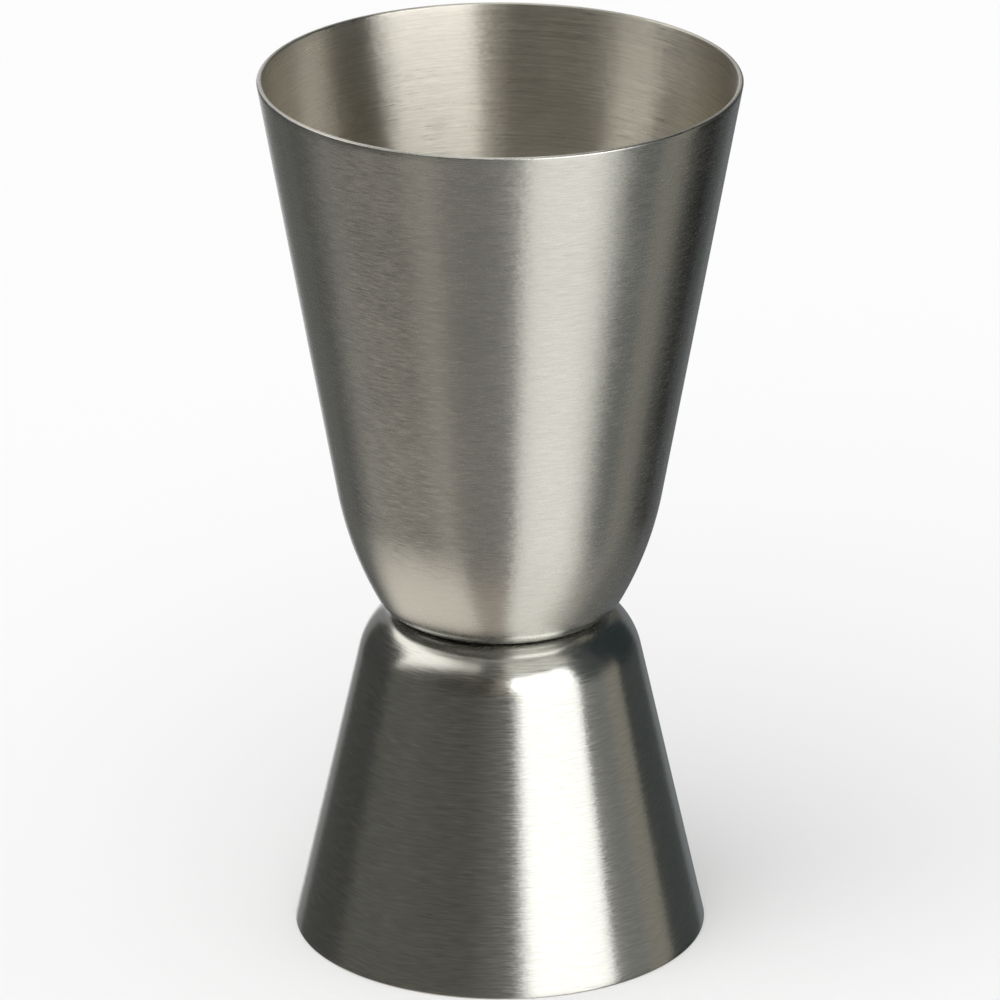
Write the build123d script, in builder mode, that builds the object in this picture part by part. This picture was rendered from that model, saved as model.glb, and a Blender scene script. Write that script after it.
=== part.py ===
from build123d import *
import os
from math import cos, radians, sin, tan

# Bar jigger: two drawn stainless cups, set base to base and spot-welded through their flat bases.
# Millimetres and degrees. The origin is the centre of the small cup's rim, which stands on the table, and +Z
# runs up the common axis to the large cup's rim. Wall angles are measured from that axis.

# ---- Whole object ----
OVERALL_HEIGHT = 84.6
JOIN_HEIGHT = 31.9  # the plane where the two flat bases meet
SHEET = 0.5  # both cups are drawn from the same sheet
RIM_ROUNDING = 0.15  # both edges of each rim, as left by tumbling
TRIM_ALLOWANCE = 2.0  # wall drawn past the rim, then trimmed off flat

# ---- Large cup: mouth up, a long cone that curves in to a small flat base ----
LARGE_RIM_RADIUS = 22.55
LARGE_WALL_ANGLE = 10.1
LARGE_SIDE_RADIUS = 34.4  # the long curve under the straight wall
LARGE_SIDE_END_ANGLE = 28.3  # where that curve gives way to the corner
LARGE_CORNER_RADIUS = 3.5

# ---- Small cup: mouth down, a steeper cone with a rounded shoulder ----
SMALL_RIM_RADIUS = 19.62
SMALL_WALL_ANGLE = 12.63
SMALL_SIDE_RADIUS = 6.66  # the shoulder
SMALL_SIDE_END_ANGLE = 43.1
SMALL_CORNER_RADIUS = 3.0

# ---- Spot welds: lens-shaped nuggets across the join, on a circle about the axis ----
WELD_COUNT = 3
WELD_CIRCLE_RADIUS = 5.0
WELD_FIRST_ANGLE = 0.0
NUGGET_RADIUS = 1.5
NUGGET_HALF_HEIGHT = 0.3
MARK_RADIUS = 2.0  # the dent that each electrode leaves on a cup's inner floor
MARK_DEPTH = 0.06
MARK_TAPER = 70.0  # its sloped edge, from the axis

QUARTER_TURN = 90


def build_spot_weld(centre):
    """One nugget: a lens of fused steel, half in each cup's base. Both its faces are parts of spheres."""
    sphere_radius = (NUGGET_RADIUS**2 + NUGGET_HALF_HEIGHT**2) / (2 * NUGGET_HALF_HEIGHT)
    with BuildPart() as nugget:
        with BuildSketch(Plane(origin=centre, x_dir=(1, 0, 0), z_dir=(0, -1, 0))):
            with BuildLine():
                RadiusArc((0, NUGGET_HALF_HEIGHT), (NUGGET_RADIUS, 0), sphere_radius)
                mirror(about=Plane.XZ)
                Line((0, NUGGET_HALF_HEIGHT), (0, -NUGGET_HALF_HEIGHT))
            make_face()
        revolve(axis=Axis(centre, (0, 0, 1)))
    return nugget


def build_cup(base, rim_radius, depth, wall_angle, side_radius, side_end_angle, corner_radius, welds):
    """One cup of even sheet. Its base plane is the outside of its flat base, and faces the mouth.

    The outside is a flat base, a corner arc, a side arc and a straight wall, each tangent to the next.
    """
    wall = radians(wall_angle)
    side_end = radians(side_end_angle)
    corner_rise = corner_radius * (1 - sin(side_end))
    corner_run = corner_radius * cos(side_end)
    side_rise = side_radius * (sin(side_end) - sin(wall))
    side_run = side_radius * (cos(wall) - cos(side_end))
    wall_run = (depth - corner_rise - side_rise) * tan(wall)
    flat_radius = rim_radius - wall_run - side_run - corner_run
    untrimmed_rim = (rim_radius + TRIM_ALLOWANCE * tan(wall), depth + TRIM_ALLOWANCE)
    to_mouth = Axis(base.origin, base.z_dir)
    with BuildPart() as cup:
        # The sheet's half section, from the centre of the base outwards and up to the mouth
        with BuildSketch(Plane(origin=base.origin, x_dir=base.x_dir, z_dir=-base.y_dir)):
            with BuildLine():
                flat = Line((0, 0), (flat_radius, 0))
                corner = JernArc(flat @ 1, flat % 1, corner_radius, QUARTER_TURN - side_end_angle)
                side = JernArc(corner @ 1, corner % 1, side_radius, side_end_angle - wall_angle)
                Line(side @ 1, untrimmed_rim)
                offset(amount=SHEET, side=Side.LEFT)
            make_face()
        revolve(axis=to_mouth)
        # The rim, trimmed flat and its two edges rounded
        split(bisect_by=base.offset(depth), keep=Keep.BOTTOM)
        fillet(cup.faces().sort_by(to_mouth)[-1].edges(), radius=RIM_ROUNDING)
        # The electrodes' shallow dents in the inner floor, one over each weld
        with BuildSketch(base.offset(SHEET)):
            with PolarLocations(WELD_CIRCLE_RADIUS, WELD_COUNT, start_angle=WELD_FIRST_ANGLE):
                Circle(MARK_RADIUS)
        extrude(amount=-MARK_DEPTH, taper=MARK_TAPER, mode=Mode.SUBTRACT)
        # The seats of the nuggets
        for weld in welds:
            add(weld.part, mode=Mode.SUBTRACT)
    return cup


# ---- Spot welds ----
weld_circle = PolarLocations(WELD_CIRCLE_RADIUS, WELD_COUNT, start_angle=WELD_FIRST_ANGLE)
weld_centres = [place.position + (0, 0, JOIN_HEIGHT) for place in weld_circle.local_locations]
spot_welds = [build_spot_weld(centre) for centre in weld_centres]

# ---- Cups ----
large_cup = build_cup(
    base=Plane(origin=(0, 0, JOIN_HEIGHT), x_dir=(1, 0, 0), z_dir=(0, 0, 1)),
    rim_radius=LARGE_RIM_RADIUS,
    depth=OVERALL_HEIGHT - JOIN_HEIGHT,
    wall_angle=LARGE_WALL_ANGLE,
    side_radius=LARGE_SIDE_RADIUS,
    side_end_angle=LARGE_SIDE_END_ANGLE,
    corner_radius=LARGE_CORNER_RADIUS,
    welds=spot_welds,
)
small_cup = build_cup(
    base=Plane(origin=(0, 0, JOIN_HEIGHT), x_dir=(1, 0, 0), z_dir=(0, 0, -1)),
    rim_radius=SMALL_RIM_RADIUS,
    depth=JOIN_HEIGHT,
    wall_angle=SMALL_WALL_ANGLE,
    side_radius=SMALL_SIDE_RADIUS,
    side_end_angle=SMALL_SIDE_END_ANGLE,
    corner_radius=SMALL_CORNER_RADIUS,
    welds=spot_welds,
)

# ---- One STEP file for each piece ----
os.makedirs("parts", exist_ok=True)
large_cup.part.label = "large_cup"
export_step(large_cup.part, "parts/large_cup.step")
small_cup.part.label = "small_cup"
export_step(small_cup.part, "parts/small_cup.step")
for number, weld in enumerate(spot_welds, start=1):
    weld.part.label = f"spot_weld_{number}"
    export_step(weld.part, f"parts/spot_weld_{number}.step")
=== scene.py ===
"""Looks of the bar jigger: two brushed stainless cups, welded base to base, on a plain pale floor.

Metres, +Z up, origin at the centre of the small cup's rim, as in the frame. Sections are worked out in
millimetres, because the sheet is half a millimetre thick, and turned into metres where each mesh is made.
"""

from math import cos, hypot, pi, radians, sin, tan

import bpy
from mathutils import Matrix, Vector, noise


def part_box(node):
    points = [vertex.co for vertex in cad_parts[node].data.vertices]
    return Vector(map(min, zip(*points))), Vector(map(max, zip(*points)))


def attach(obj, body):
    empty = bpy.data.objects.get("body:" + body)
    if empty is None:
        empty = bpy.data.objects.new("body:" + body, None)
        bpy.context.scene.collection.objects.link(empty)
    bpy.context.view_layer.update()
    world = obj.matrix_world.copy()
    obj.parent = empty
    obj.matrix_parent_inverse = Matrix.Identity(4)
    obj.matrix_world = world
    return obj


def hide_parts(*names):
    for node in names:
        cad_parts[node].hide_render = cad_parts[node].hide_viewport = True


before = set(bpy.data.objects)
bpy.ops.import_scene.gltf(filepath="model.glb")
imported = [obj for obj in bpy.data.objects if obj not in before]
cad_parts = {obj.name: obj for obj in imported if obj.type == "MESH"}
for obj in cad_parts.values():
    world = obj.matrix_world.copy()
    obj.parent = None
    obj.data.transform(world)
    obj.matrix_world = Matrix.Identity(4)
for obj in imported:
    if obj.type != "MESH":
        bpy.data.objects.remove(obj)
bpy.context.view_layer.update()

MM = 0.001
SAME = 1e-6  # heights in millimetres that differ by less are the same

# ---- Camera: the photograph's viewing angle ----
CAMERA_BACK = 0.760
CAMERA_HEIGHT = 0.3427
CAMERA_PITCH_DOWN = 21.54
CAMERA_LENS = 312.3
SENSOR = 36.0
CLIP_START = 0.01
CLIP_END = 50.0

# ---- Sizes from the frame, in millimetres ----
large_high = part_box("large_cup")[1]
small_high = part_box("small_cup")[1]
JOIN = small_high.z / MM
OVERALL = large_high.z / MM
WELDS = sorted(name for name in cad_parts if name.startswith("spot_weld"))
WELD_CENTRES = [(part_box(name)[0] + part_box(name)[1]) / (2 * MM) for name in WELDS]

# ---- The cups' sections: angles in degrees from the axis, lengths in millimetres ----
SHEET = 0.5
RIM_ROUNDING = 0.15
LARGE_SECTION = dict(wall_angle=10.1, side_radius=34.4, side_end_angle=28.3, corner_radius=3.5)
SMALL_SECTION = dict(wall_angle=12.63, side_radius=6.66, side_end_angle=43.1, corner_radius=3.0)
MOUTH_UP = 1
MOUTH_DOWN = -1

# ---- Mesh fineness, in millimetres unless named otherwise ----
AROUND = 288
WALL_STEP = 0.6
CORNER_STEP_DEGREES = 3.0
FLOOR_STEP = 0.3
FEWEST_SIDE_STEPS = 8
ROUNDING_STEPS = 5

# ---- Small irregularities of drawn and polished sheet, in millimetres ----
RIPPLE_HEIGHT = 0.010
RIPPLE_LENGTH = 7.0
RIPPLE_ALONG = 0.7  # how fast it changes along the axis, where across the axis is 1
RIPPLE_FADE = 4.0  # it fades in over this height above the floor, which stays flat
BROAD_LONGER = 3.0  # the broad ripple is this much longer than the fine one, and this much higher
BROAD_HIGHER = 1.5
BROAD_ALONG = 0.5
BROAD_SHIFT = 40.0
MARK_RADIUS = 2.0  # the electrodes' dents in the inner floors
MARK_DEPTH = 0.06
MARK_EDGE = 0.25  # share of the radius that slopes

# ---- Steel ----
STEEL = (0.632, 0.629, 0.602)
INNER_STEEL = (0.735, 0.706, 0.645)
WELD_STEEL = (0.45, 0.42, 0.38)
SCRATCH_ROUGHNESS = 0.10  # how much the fine scratches change the roughness, and the tone
SCRATCH_TONE = 0.26
CLOUD_ROUGHNESS = 0.10
CLOUD_TONE = 0.12
LINE_ROUGHNESS = 0.12
LINE_TONE = 0.30
SMOOTHEST = 0.75  # no scratch makes the steel smoother than this share of its roughness
PEEL_HEIGHT = 0.012  # of the fine unevenness of the sheet, in millimetres
PEEL_EVERYWHERE = 0.3  # the share of it that isn't in patches
PATCH_STARTS = -0.05  # the noise where a patch starts, and where it has its full strength
PATCH_FULL = 0.20
WALL_SLOPE = 0.26  # how far along the axis the normal of a wall points, and of a shoulder
SHOULDER_SLOPE = 0.50
ALONG_THE_WALL = 0.25  # the anisotropy's turn that draws reflections out from the rim to the base
NOISE_ROUGHNESS = 0.55
INSIDE = dict(
    colour=INNER_STEEL,
    roughness=0.34,
    anisotropy=1.0,
    grain=1.8,
    wobble=0.09,
    lean=0.14,
    mottle=2.2,
    lines=1.6,
)
LARGE_OUTSIDE = dict(
    colour=STEEL,
    roughness=0.262,
    anisotropy=0.46,
    grain=1.3,
    wobble=0.06,
    lean=0.12,
    mottle=1.0,
    lines=0.1,
)
SMALL_OUTSIDE = dict(
    colour=STEEL,
    roughness=0.205,
    anisotropy=0.58,
    grain=1.7,
    wobble=0.05,
    lean=0.20,
    mottle=0.5,
    lines=0.1,
)
WELD_LOOK = dict(
    colour=WELD_STEEL,
    roughness=0.55,
    anisotropy=0.0,
    grain=0.5,
    wobble=0.0,
    lean=0.0,
    mottle=1.0,
    lines=0.0,
)

# ---- Floor ----
FLOOR_HALF = 20.0
FLOOR_COLOUR = (0.86, 0.86, 0.86, 1.0)

# ---- Studio ----
BACKDROP = (0.97, 0.97, 0.97, 1.0)
DIFFUSE_FILL = (0.74, 0.74, 0.74, 1.0)
SUN_STRENGTH = 1.5
SUN_ANGLE = 70.0
SUN_TILT = (28.0, -18.0, 0.0)
LIGHT_BOUNCES = 16
GLOSSY_BOUNCES = 12

# What the steel reflects: lit panels and dark flags round the table, each painted over the ones before it.
# Azimuth 0 is towards the camera and 90 to its right. An edge is its angle and its softness, in degrees. An
# edge that isn't given isn't there. crest is the azimuth where a slanted lower edge is highest. A pool is
# round: its centre's azimuth and elevation, its radius and its softness.
ROOM = (0.118, 0.118, 0.104)
PANELS = [
    # The ceiling, then the front wall: its left and its upper part
    dict(colour=(1.45, 1.45, 1.42), low=(72, 6)),
    dict(colour=(0.125, 0.125, 0.11), left=(-74, 6), right=(-46, 8), low=(-14, 5), high=(30, 10)),
    dict(colour=(0.074, 0.071, 0.058), left=(-60, 10), right=(6, 6), low=(4, 8), high=(42, 6)),
    # Everything under the table's edge
    dict(colour=(0.072, 0.071, 0.066), high=(-14, 5)),
    # Under that edge on the left: a strip, and the part nearest the front
    dict(colour=(0.155, 0.153, 0.145), left=(-106, 4), right=(-92, 3), high=(-14, 5)),
    dict(colour=(0.285, 0.265, 0.232), left=(-50, 10), right=(-32.5, 3), high=(-14, 5)),
    # Under that edge, far left: the whole, then nearer the table, then towards the back
    dict(colour=(0.085, 0.086, 0.083), left=(-148, 6), right=(-108, 6), high=(-14, 5)),
    dict(colour=(0.200, 0.198, 0.185), left=(-152, 6), right=(-100, 6), high=(-32, 2)),
    dict(colour=(0.150, 0.152, 0.145), left=(-152, 6), right=(-129, 5), high=(-24, 4)),
    # The lit table top
    dict(colour=(0.86, 0.80, 0.71), pool=(-108, -76, 37, 7)),
    # Under that edge in front, and its foot
    dict(colour=(0.20, 0.195, 0.18), left=(-32.5, 3), right=(14, 8), high=(-14, 5)),
    dict(colour=(0.45, 0.39, 0.33), left=(-33, 8), right=(14, 8), high=(-58, 8)),
    # The left edge of both cups
    dict(colour=(0.26, 0.26, 0.26), left=(-175, 5), right=(-147, 5), low=(-25, 8), high=(30, 8)),
    # A lit band over the left, slanted: the whole, its middle and its far end
    dict(colour=(0.85, 0.82, 0.74), left=(-80, 16), right=(-22, 6), low=(47, 6), crest=-20, high=(58, 5)),
    dict(colour=(1.45, 1.42, 1.34), left=(-97, 6), right=(-50, 20), low=(47, 6), crest=-20, high=(54, 5)),
    dict(colour=(1.45, 1.42, 1.34), left=(-152, 6), right=(-93, 6), low=(31, 4), high=(53, 5)),
    # The dark flag on the left
    dict(colour=(0.062, 0.062, 0.060), left=(-146, 5), right=(-98, 7), low=(-14, 5), high=(29, 5)),
    # Beside the key: low and high
    dict(colour=(0.15, 0.15, 0.135), left=(-12, 9), right=(14, 4), low=(-14, 5), high=(10, 6)),
    dict(colour=(0.30, 0.27, 0.22), left=(-4, 5), right=(12, 4), low=(12, 6), high=(40, 5)),
    # The dark flag on the right, and its upper part
    dict(colour=(0.070, 0.078, 0.076), left=(66, 3), right=(152, 6), low=(-30, 6), high=(52, 8)),
    dict(colour=(0.032, 0.040, 0.043), left=(98, 4), right=(150, 6), low=(-4, 4), high=(50, 8)),
    # The right edge of both cups: high and low
    dict(colour=(0.20, 0.21, 0.22), left=(150, 5), right=(176, 4), low=(-27, 6), high=(8, 8)),
    dict(colour=(0.15, 0.155, 0.16), left=(138, 6), right=(176, 4), low=(-60, 8), high=(-28, 3)),
    # Strips in front of the right flag: the near one, its upper end, the far one and the gap between them
    dict(colour=(0.13, 0.14, 0.135), left=(78, 3), right=(92, 2), low=(-48, 8), high=(4, 6)),
    dict(colour=(0.28, 0.275, 0.26), left=(66, 3), right=(92, 2), low=(-12, 4), high=(6, 5)),
    dict(colour=(0.285, 0.272, 0.232), left=(91, 2), right=(109, 3), low=(-48, 8), high=(8, 6)),
    dict(colour=(0.19, 0.20, 0.19), left=(77, 4), right=(90, 3), low=(-4, 3), high=(6, 5)),
    # Their foot, and the part of it nearest the table
    dict(colour=(0.38, 0.36, 0.33), left=(60, 6), right=(116, 8), high=(-45, 4)),
    dict(colour=(0.60, 0.57, 0.51), left=(60, 6), right=(92, 10), high=(-57, 4)),
    # Past the far strip: the pale part below, then the dark side
    dict(colour=(0.16, 0.16, 0.15), left=(104, 6), right=(138, 6), low=(-58, 6), high=(-32, 3)),
    dict(colour=(0.0, 0.0, 0.0), left=(110, 3), right=(137, 5), low=(-31, 2), high=(-19, 5)),
    # Behind the object
    dict(colour=(0.90, 0.90, 0.90), left=(178, 4), right=(196, 5), low=(-30, 8), high=(60, 8)),
    # The lit table under the key, and nearer
    dict(colour=(1.18, 1.17, 1.10), left=(13.6, 5), right=(58, 13), high=(-12, 8)),
    dict(colour=(1.00, 0.98, 0.91), left=(13.6, 5), right=(71, 13), high=(-36, 6)),
    # The glow over the key, the key and its bright middle
    dict(colour=(0.72, 0.70, 0.63), left=(6, 5), right=(78, 8), low=(44, 6), high=(66, 8)),
    dict(colour=(1.70, 1.70, 1.66), left=(13.2, 6), right=(65.5, 3), low=(-14, 6), high=(37, 5)),
    dict(colour=(4.60, 4.60, 4.50), left=(10.5, 5), right=(60, 4), low=(20, 7), high=(34, 5)),
]


def make_camera():
    data = bpy.data.cameras.new("camera")
    data.lens = CAMERA_LENS
    data.sensor_width = SENSOR
    data.clip_start = CLIP_START
    data.clip_end = CLIP_END
    camera = bpy.data.objects.new("camera", data)
    camera.location = (0.0, -CAMERA_BACK, CAMERA_HEIGHT)
    camera.rotation_euler = (radians(90.0 - CAMERA_PITCH_DOWN), 0.0, 0.0)
    bpy.context.scene.collection.objects.link(camera)
    bpy.context.scene.camera = camera


# ---- Cups ----
def stretch(start, end, steps):
    """Evenly spaced values after start, up to and with end."""
    return [start + (end - start) * i / steps for i in range(1, steps + 1)]


def arc(centre, radius, start, end, steps):
    """Points after the start of an arc about centre, (r, h), from angle start to end in radians."""
    return [(centre[0] + radius * cos(a), centre[1] + radius * sin(a)) for a in stretch(start, end, steps)]


def cup_section(rim_radius, depth, wall_angle, side_radius, side_end_angle, corner_radius):
    """A cup's section as (r, h) points from the centre of its base's outside, over the rim, to the centre of
    its inner floor, and the index of the first point that is inside. h is the height from the base's outside
    towards the mouth.
    """
    wall, side_end = radians(wall_angle), radians(side_end_angle)
    corner_rise = corner_radius * (1 - sin(side_end))
    side_rise = side_radius * (sin(side_end) - sin(wall))
    side_run = side_radius * (cos(wall) - cos(side_end))
    wall_rise = depth - corner_rise - side_rise
    flat = rim_radius - wall_rise * tan(wall) - side_run - corner_radius * cos(side_end)
    corner_centre = (flat, corner_radius)
    reach = side_radius - corner_radius
    side_centre = (flat - reach * cos(side_end), corner_radius + reach * sin(side_end))
    floor_steps = round(flat / FLOOR_STEP)
    corner_steps = round((90 - side_end_angle) / CORNER_STEP_DEGREES)
    side_steps = max(round(side_radius * (side_end - wall) / WALL_STEP), FEWEST_SIDE_STEPS)
    wall_steps = round(wall_rise / WALL_STEP)

    def wall_point(height, inset):
        return (rim_radius - inset / cos(wall) - (depth - height) * tan(wall), height)

    rounding_height = depth - RIM_ROUNDING
    wall_top = rounding_height - RIM_ROUNDING * sin(wall)
    outer_centre = wall_point(rounding_height, RIM_ROUNDING)
    outside = [(r, 0.0) for r in stretch(0.0, flat, floor_steps)]
    outside += arc(corner_centre, corner_radius, -pi / 2, -side_end, corner_steps)
    outside += arc(side_centre, side_radius, -side_end, -wall, side_steps)
    outside += [wall_point(h, 0.0) for h in stretch(outside[-1][1], wall_top, wall_steps)]
    outside += arc(outer_centre, RIM_ROUNDING, -wall, pi / 2, ROUNDING_STEPS)

    inner_centre = wall_point(rounding_height, SHEET - RIM_ROUNDING)
    wall_end = side_centre[1] - (side_radius - SHEET) * sin(wall)
    inside = [(inner_centre[0], depth)]
    inside += arc(inner_centre, RIM_ROUNDING, pi / 2, pi - wall, ROUNDING_STEPS)
    inside += [wall_point(h, SHEET) for h in stretch(inside[-1][1], wall_end, wall_steps)]
    inside += arc(side_centre, side_radius - SHEET, -wall, -side_end, side_steps)
    inside += arc(corner_centre, corner_radius - SHEET, -side_end, -pi / 2, corner_steps)
    inside += [(r, SHEET) for r in stretch(flat, 0.0, floor_steps)[:-1]]
    return outside + inside, len(outside)


def dent(x, y):
    """How far the electrodes pressed the inner floor down at x, y."""
    deepest = 0.0
    for centre in WELD_CENTRES:
        share = hypot(x - centre.x, y - centre.y) / MARK_RADIUS
        if share < 1.0:
            deepest = max(deepest, MARK_DEPTH * min(1.0, (1.0 - share) / MARK_EDGE))
    return deepest


def ripple(x, y, z):
    """The slight waviness of the drawn and polished wall."""
    fine = noise.noise(Vector((x, y, RIPPLE_ALONG * z)) / RIPPLE_LENGTH)
    shifted = Vector((x + BROAD_SHIFT, y, BROAD_ALONG * z))
    broad = noise.noise(shifted / (BROAD_LONGER * RIPPLE_LENGTH))
    return RIPPLE_HEIGHT * (fine + BROAD_HIGHER * broad)


def cup_vertices(points, first_inside, towards_mouth):
    """A ring of vertices for each point of the section, then the two poles, in metres."""
    verts = []
    for index, (r, h) in enumerate(points):
        on_wall = min(1.0, max(0.0, (h - SHEET) / RIPPLE_FADE))
        on_inner_floor = index >= first_inside and h < SHEET + SAME
        for step in range(AROUND):
            angle = 2 * pi * step / AROUND
            x, y, z = r * cos(angle), r * sin(angle), JOIN + towards_mouth * h
            scale = (r + ripple(x, y, z) * on_wall) / r
            if on_inner_floor:
                z -= towards_mouth * dent(x, y)
            verts.append((x * scale * MM, y * scale * MM, z * MM))
    verts.append((0.0, 0.0, JOIN * MM))
    verts.append((0.0, 0.0, (JOIN + towards_mouth * SHEET) * MM))
    return verts


def cup_faces(rings, first_inside):
    """The faces between the rings and to the poles, for a mouth that faces up, and which are inside."""
    faces, inside = [], []
    base_pole, floor_pole = rings * AROUND, rings * AROUND + 1
    last_ring = (rings - 1) * AROUND
    for step in range(AROUND):
        after = (step + 1) % AROUND
        faces.append((base_pole, after, step))
        inside.append(False)
        for ring in range(rings - 1):
            a, b = ring * AROUND, (ring + 1) * AROUND
            faces.append((a + step, a + after, b + after, b + step))
            inside.append(ring + 1 >= first_inside)
        faces.append((last_ring + step, last_ring + after, floor_pole))
        inside.append(True)
    return faces, inside


def make_cup(name, widest, depth, towards_mouth, section, materials):
    """Turns a section round the axis. widest is the radius of the CAD's cup at its rounded rim. The sharp
    rim that the section starts from is a little wider. materials are the outside's and the inside's.
    """
    wall = radians(section["wall_angle"])
    rim_radius = widest + RIM_ROUNDING * (1 / cos(wall) + tan(wall) - 1)
    points, first_inside = cup_section(rim_radius, depth, **section)
    faces, inside = cup_faces(len(points), first_inside)
    if towards_mouth == MOUTH_DOWN:
        faces = [tuple(reversed(face)) for face in faces]
    mesh = bpy.data.meshes.new(name)
    mesh.from_pydata(cup_vertices(points, first_inside, towards_mouth), [], faces)
    for material in materials:
        mesh.materials.append(material)
    mesh.polygons.foreach_set("material_index", [int(is_inside) for is_inside in inside])
    mesh.shade_smooth()
    mesh.validate()
    cup = bpy.data.objects.new(name, mesh)
    bpy.context.scene.collection.objects.link(cup)
    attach(cup, "root")
    return cup


# ---- Nodes ----
class Tree:
    """A node tree with a short way to add a node, set its sockets and link it."""

    def __init__(self, tree):
        self.tree = tree
        tree.nodes.clear()

    def add(self, kind, inputs=None, **settings):
        node = self.tree.nodes.new(kind)
        for key, value in settings.items():
            setattr(node, key, value)
        for key, value in (inputs or {}).items():
            self.put(node.inputs[key], value)
        return node

    def put(self, socket, value):
        if isinstance(value, bpy.types.NodeSocket):
            self.tree.links.new(value, socket)
        else:
            socket.default_value = value

    def math(self, operation, a, b=0.0, c=0.0):
        return self.add("ShaderNodeMath", {0: a, 1: b, 2: c}, operation=operation).outputs[0]

    def vector_math(self, operation, a, b=(0.0, 0.0, 0.0), output="Vector"):
        return self.add("ShaderNodeVectorMath", {0: a, 1: b}, operation=operation).outputs[output]

    def scale(self, vector, factor):
        return self.add("ShaderNodeVectorMath", {0: vector, "Scale": factor}, operation="SCALE").outputs[0]

    def split(self, vector):
        return self.add("ShaderNodeSeparateXYZ", {0: vector}).outputs

    def noise(self, where, seed, detail):
        """Noise about zero, mostly within a quarter of it."""
        where = self.vector_math("ADD", where, (seed, 0.0, 0.0))
        inputs = {"Vector": where, "Scale": 1.0, "Detail": detail, "Roughness": NOISE_ROUGHNESS}
        return self.math("SUBTRACT", self.add("ShaderNodeTexNoise", inputs).outputs[0], 0.5)

    def smooth_step(self, value, low, high):
        inputs = {"Value": value, "From Min": low, "From Max": high}
        return self.add("ShaderNodeMapRange", inputs, interpolation_type="SMOOTHSTEP").outputs[0]

    def mix(self, share, a, b):
        return self.add("ShaderNodeMix", {0: share, 6: a, 7: b}, data_type="RGBA").outputs[2]


# ---- Steel ----
def rows_along_wall(tree, in_mm, widens):
    """A place whose third coordinate runs along the wall, for textures that are drawn out round the axis."""
    x, y, z = tree.split(in_mm)
    from_axis = tree.add("ShaderNodeCombineXYZ", {0: x, 1: y}).outputs[0]
    radius = tree.vector_math("LENGTH", from_axis, output="Value")
    row = tree.math("MULTIPLY_ADD", radius, widens, z)
    return tree.add("ShaderNodeCombineXYZ", {0: x, 1: y, 2: row}).outputs[0]


def streaks(tree, in_rows, along, across, detail, seed):
    """Noise in streaks round the axis, about along and across in millimetres."""
    where = tree.vector_math("MULTIPLY", in_rows, (1 / along, 1 / along, 1 / across))
    return tree.noise(where, seed, detail)


def blotches(tree, in_mm, size, detail, seed):
    """Noise in round blotches of about size in millimetres."""
    return tree.noise(tree.vector_math("MULTIPLY", in_mm, (1 / size,) * 3), seed, detail)


def layered(tree, start, *layers):
    """start and the sum of each texture times its strength."""
    for texture, strength in layers:
        start = tree.math("MULTIPLY_ADD", texture, strength, start)
    return start


def peel_normal(tree, in_mm, mottle):
    """The normal with the sheet's fine unevenness, which is stronger in patches."""
    peel = blotches(tree, in_mm, size=1.1, detail=2.0, seed=9.0)
    patches = blotches(tree, in_mm, size=13.0, detail=1.0, seed=5.0)
    patches = tree.smooth_step(patches, PATCH_STARTS, PATCH_FULL)
    share = tree.math("MULTIPLY_ADD", patches, 1.0 - PEEL_EVERYWHERE, PEEL_EVERYWHERE)
    inputs = {
        "Height": tree.math("MULTIPLY", peel, share),
        "Strength": 1.0,
        "Distance": PEEL_HEIGHT * mottle * MM,
    }
    return tree.add("ShaderNodeBump", inputs).outputs[0]


def steel_normal(tree, in_mm, in_rows, facing, tangent, wobble, lean, mottle):
    """The normal, turned by the brush lines: round the axis everywhere, and along it on the walls only."""
    leans = streaks(tree, in_rows, along=1.3, across=0.13, detail=2.0, seed=91.0)
    turns = streaks(tree, in_rows, along=0.35, across=0.16, detail=1.0, seed=57.0)
    slope = tree.math("ABSOLUTE", tree.split(facing)[2])
    on_wall = tree.smooth_step(slope, SHOULDER_SLOPE, WALL_SLOPE)
    turned = tree.scale(tangent, tree.math("MULTIPLY", turns, wobble))
    leaned = tree.math("MULTIPLY", tree.math("MULTIPLY", leans, on_wall), lean)
    leaned = tree.scale((0.0, 0.0, 1.0), leaned)
    normal = tree.vector_math("ADD", peel_normal(tree, in_mm, mottle), turned)
    return tree.vector_math("NORMALIZE", tree.vector_math("ADD", normal, leaned))


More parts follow.
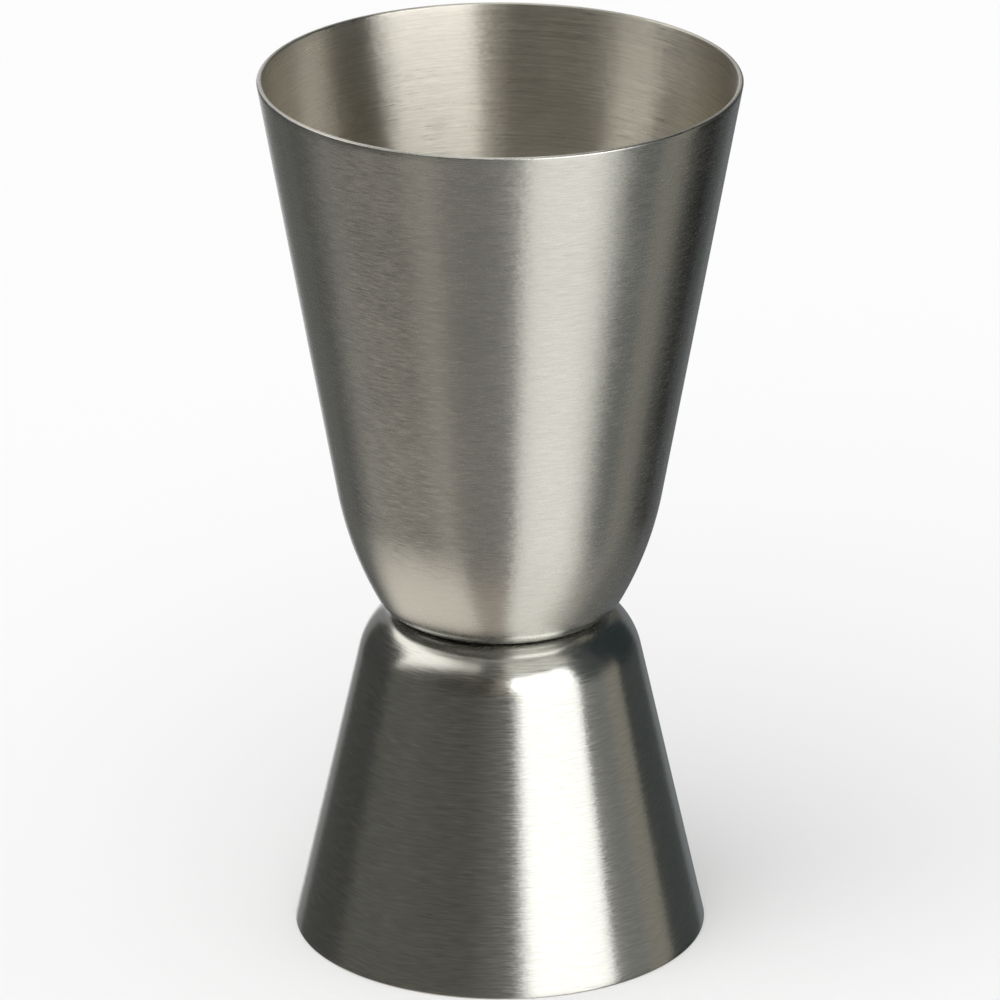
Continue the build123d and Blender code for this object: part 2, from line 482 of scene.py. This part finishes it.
def brushed_steel(name, colour, roughness, anisotropy, widens, grain, wobble, lean, mottle, lines):
    """Steel polished round the axis. widens is 1 where the wall widens upwards and -1 where it narrows, so
    that the scratches run in rows along the wall. grain is how strong the fine scratches are, wobble and
    lean how far the brush lines turn the light sideways and along the wall, mottle how uneven the sheet is
    and lines how strong the long polishing lines are.
    """
    material = bpy.data.materials.new(name)
    material.use_nodes = True
    tree = Tree(material.node_tree)
    seat = tree.add("ShaderNodeTexCoord").outputs
    in_mm = tree.vector_math("MULTIPLY", seat["Object"], (1 / MM,) * 3)
    in_rows = rows_along_wall(tree, in_mm, widens)
    scratches = streaks(tree, in_rows, along=1.6, across=0.15, detail=2.0, seed=3.0)
    long_lines = streaks(tree, in_rows, along=9.0, across=0.22, detail=2.0, seed=23.0)
    clouds = blotches(tree, in_mm, size=8.0, detail=3.0, seed=31.0)
    rough = layered(
        tree,
        roughness,
        (scratches, SCRATCH_ROUGHNESS * grain),
        (clouds, CLOUD_ROUGHNESS * mottle),
        (long_lines, LINE_ROUGHNESS * lines),
    )
    tone = layered(
        tree,
        1.0,
        (scratches, SCRATCH_TONE * grain),
        (clouds, CLOUD_TONE * mottle),
        (long_lines, LINE_TONE * lines),
    )
    tangent = tree.add("ShaderNodeTangent", direction_type="RADIAL", axis="Z").outputs[0]
    inputs = {
        "Base Color": tree.scale(colour, tone),
        "Metallic": 1.0,
        "Roughness": tree.math("MAXIMUM", rough, SMOOTHEST * roughness),
        "Anisotropic": anisotropy,
        "Anisotropic Rotation": ALONG_THE_WALL,
        "Normal": steel_normal(tree, in_mm, in_rows, seat["Normal"], tangent, wobble, lean, mottle),
        "Tangent": tangent,
    }
    shader = tree.add("ShaderNodeBsdfPrincipled", inputs)
    tree.add("ShaderNodeOutputMaterial", {"Surface": shader.outputs[0]})
    return material


# ---- Floor ----
def make_floor():
    mesh = bpy.data.meshes.new("floor")
    corners = [(-1, -1), (1, -1), (1, 1), (-1, 1)]
    mesh.from_pydata([(x * FLOOR_HALF, y * FLOOR_HALF, 0.0) for x, y in corners], [], [(0, 1, 2, 3)])
    floor = bpy.data.objects.new("floor", mesh)
    bpy.context.scene.collection.objects.link(floor)
    material = bpy.data.materials.new("floor")
    material.use_nodes = True
    tree = Tree(material.node_tree)
    shader = tree.add("ShaderNodeBsdfDiffuse", {"Color": FLOOR_COLOUR})
    tree.add("ShaderNodeOutputMaterial", {"Surface": shader.outputs[0]})
    mesh.materials.append(material)
    floor.visible_glossy = False


# ---- Studio ----
def towards(azimuth, elevation=0.0):
    """The unit vector to a place round the table."""
    level = cos(radians(elevation))
    return (level * sin(radians(azimuth)), -level * cos(radians(azimuth)), sin(radians(elevation)))


def edge(tree, direction, inwards, softness):
    """1 on the side of a great circle that inwards points to, 0 on the other."""
    side = tree.vector_math("DOT_PRODUCT", direction, inwards, output="Value")
    return tree.smooth_step(side, -sin(radians(softness)), sin(radians(softness)))


def pool_share(tree, direction, azimuth, elevation, radius, softness):
    """How much of a round panel is seen in a direction."""
    near = tree.vector_math("DOT_PRODUCT", direction, towards(azimuth, elevation), output="Value")
    return tree.smooth_step(near, cos(radians(radius + softness)), cos(radians(radius - softness)))


def above(tree, height, elevation, softness):
    """1 above a level edge and 0 below it. A negative softness turns that round."""
    return tree.smooth_step(height, sin(radians(elevation - softness)), sin(radians(elevation + softness)))


def panel_share(tree, direction, level, height, panel):
    """How much of a panel is seen in a direction, from 0 to 1."""
    shares = []
    if "pool" in panel:
        shares.append(pool_share(tree, direction, *panel["pool"]))
    if "left" in panel:
        azimuth, softness = panel["left"]
        shares.append(edge(tree, level, towards(azimuth + 90), softness))
    if "right" in panel:
        azimuth, softness = panel["right"]
        shares.append(edge(tree, level, towards(azimuth - 90), softness))
    if "crest" in panel:
        elevation, softness = panel["low"]
        shares.append(edge(tree, direction, towards(panel["crest"] + 180, 90 - elevation), softness))
    elif "low" in panel:
        shares.append(above(tree, height, *panel["low"]))
    if "high" in panel:
        elevation, softness = panel["high"]
        shares.append(above(tree, height, elevation, -softness))
    share = shares[0]
    for other in shares[1:]:
        share = tree.math("MULTIPLY", share, other)
    return share


def make_world():
    world = bpy.data.worlds.new("studio")
    world.use_nodes = True
    world.cycles.sampling_method = "NONE"
    bpy.context.scene.world = world
    tree = Tree(world.node_tree)
    direction = tree.add("ShaderNodeTexCoord").outputs["Generated"]
    x, y, height = tree.split(direction)
    level = tree.vector_math("NORMALIZE", tree.add("ShaderNodeCombineXYZ", {0: x, 1: y}).outputs[0])
    seen = ROOM + (1.0,)
    for panel in PANELS:
        seen = tree.mix(panel_share(tree, direction, level, height, panel), seen, panel["colour"] + (1.0,))
    rays = tree.add("ShaderNodeLightPath").outputs
    seen = tree.mix(rays["Is Diffuse Ray"], seen, DIFFUSE_FILL)
    seen = tree.mix(rays["Is Camera Ray"], seen, BACKDROP)
    background = tree.add("ShaderNodeBackground", {"Color": seen, "Strength": 1.0})
    tree.add("ShaderNodeOutputWorld", {"Surface": background.outputs[0]})


def make_sun():
    """The soft shadow on the floor. The steel doesn't reflect it."""
    data = bpy.data.lights.new("soft_sun", "SUN")
    data.energy = SUN_STRENGTH
    data.angle = radians(SUN_ANGLE)
    sun = bpy.data.objects.new("soft_sun", data)
    sun.rotation_euler = [radians(turn) for turn in SUN_TILT]
    sun.visible_glossy = False
    bpy.context.scene.collection.objects.link(sun)


make_camera()

# ---- Pieces ----
large_outside = brushed_steel("large_outside", widens=1.0, **LARGE_OUTSIDE)
large_inside = brushed_steel("large_inside", widens=1.0, **INSIDE)
small_outside = brushed_steel("small_outside", widens=-1.0, **SMALL_OUTSIDE)
small_inside = brushed_steel("small_inside", widens=-1.0, **INSIDE)
weld_steel = brushed_steel("weld_steel", widens=1.0, **WELD_LOOK)

large_cup = make_cup(
    "large_cup_sheet",
    large_high.x / MM,
    OVERALL - JOIN,
    MOUTH_UP,
    LARGE_SECTION,
    (large_outside, large_inside),
)
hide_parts("large_cup")
small_cup = make_cup(
    "small_cup_sheet",
    small_high.x / MM,
    JOIN,
    MOUTH_DOWN,
    SMALL_SECTION,
    (small_outside, small_inside),
)
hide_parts("small_cup")
for name in WELDS:
    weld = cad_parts[name]
    weld.data.materials.clear()
    weld.data.materials.append(weld_steel)

# ---- Stage ----
make_floor()
make_world()
make_sun()
scene = bpy.context.scene
scene.view_settings.view_transform = "Standard"
scene.cycles.max_bounces = LIGHT_BOUNCES
scene.cycles.glossy_bounces = GLOSSY_BOUNCES
